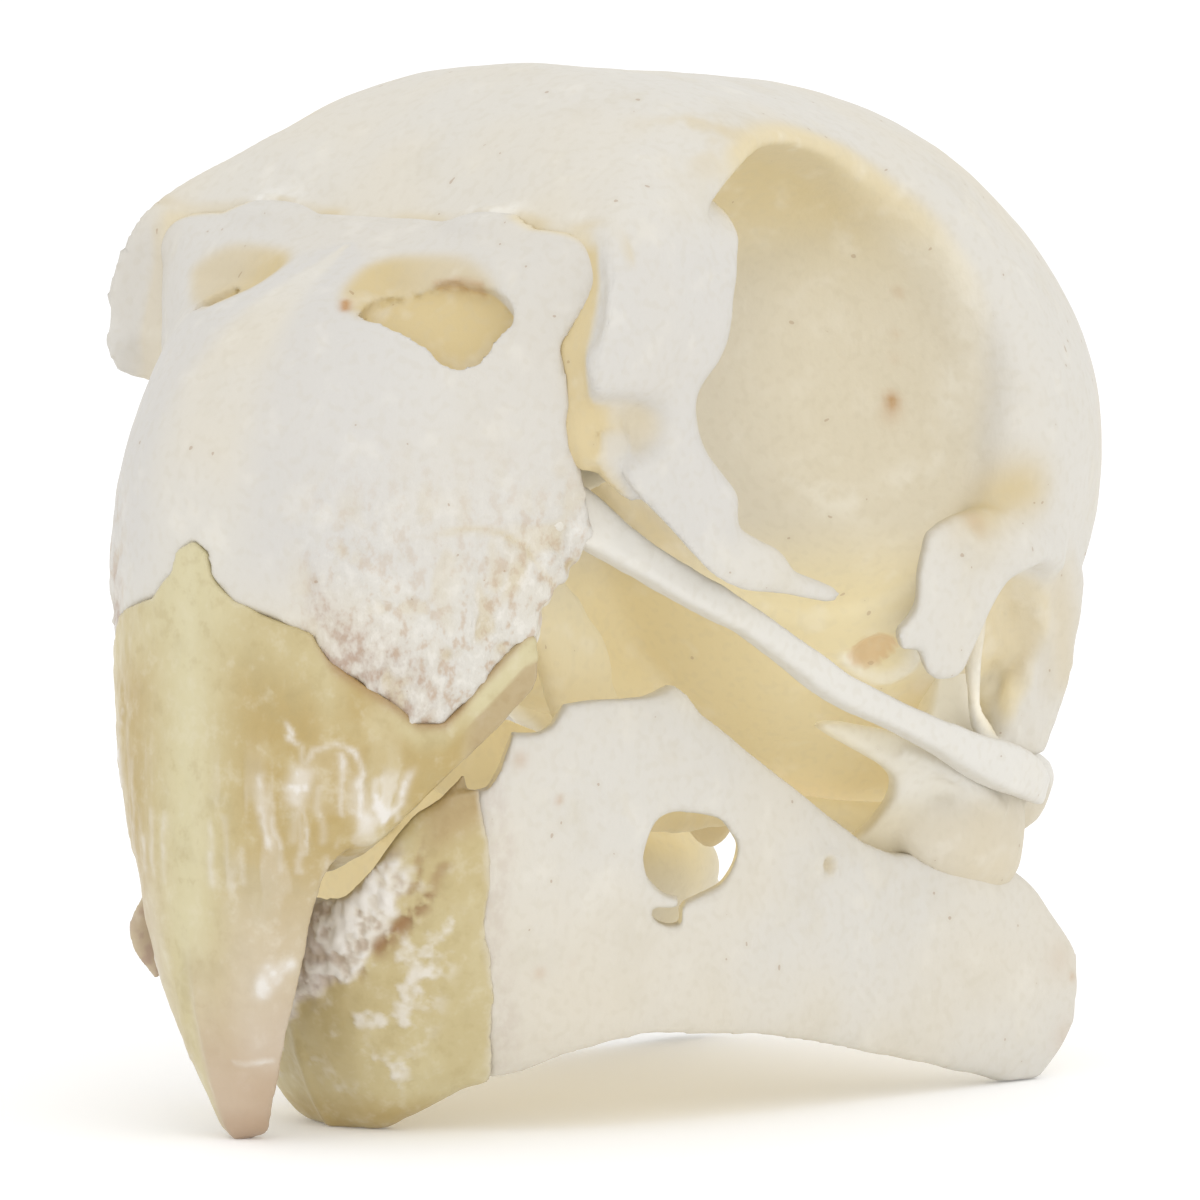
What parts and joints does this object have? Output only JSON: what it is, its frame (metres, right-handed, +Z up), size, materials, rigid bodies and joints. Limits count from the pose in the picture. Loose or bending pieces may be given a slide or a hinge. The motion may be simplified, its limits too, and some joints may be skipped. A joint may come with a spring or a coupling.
{
  "type": "lovebird skull",
  "caption": "Life-size skull of a small parrot with a round cranium, wide eye sockets, hooked bill in its horn sheath, and lower jaw.",
  "frame": {"origin": "on the table plane, under the middle of the skull's box", "axes": "+Z up, the beak points to -Y, +X is the bird's left"},
  "size_m": [0.019, 0.0286, 0.026],
  "materials": {
    "bone": "clean dry bone, warm white with a faint satin sheen",
    "horn": "old horn, yellow and waxy, with pale flakes"
  },
  "bodies": {
    "root": {"braincase": "bone", "frontal": "bone", "interorbital_septum": "bone", "upper_bill": "bone", "upper_bill_sheath": "horn", "lower_bill_sheath": "horn", "lacrimal_left": "bone", "lacrimal_right": "bone", "jaw_ramus_left": "bone", "jaw_ramus_right": "bone", "jugal_bar_left": "bone", "jugal_bar_right": "bone", "quadrate_left": "bone", "quadrate_right": "bone", "palatine_left": "bone", "palatine_right": "bone", "pterygoid_left": "bone", "pterygoid_right": "bone"}
  },
  "joints": []
}
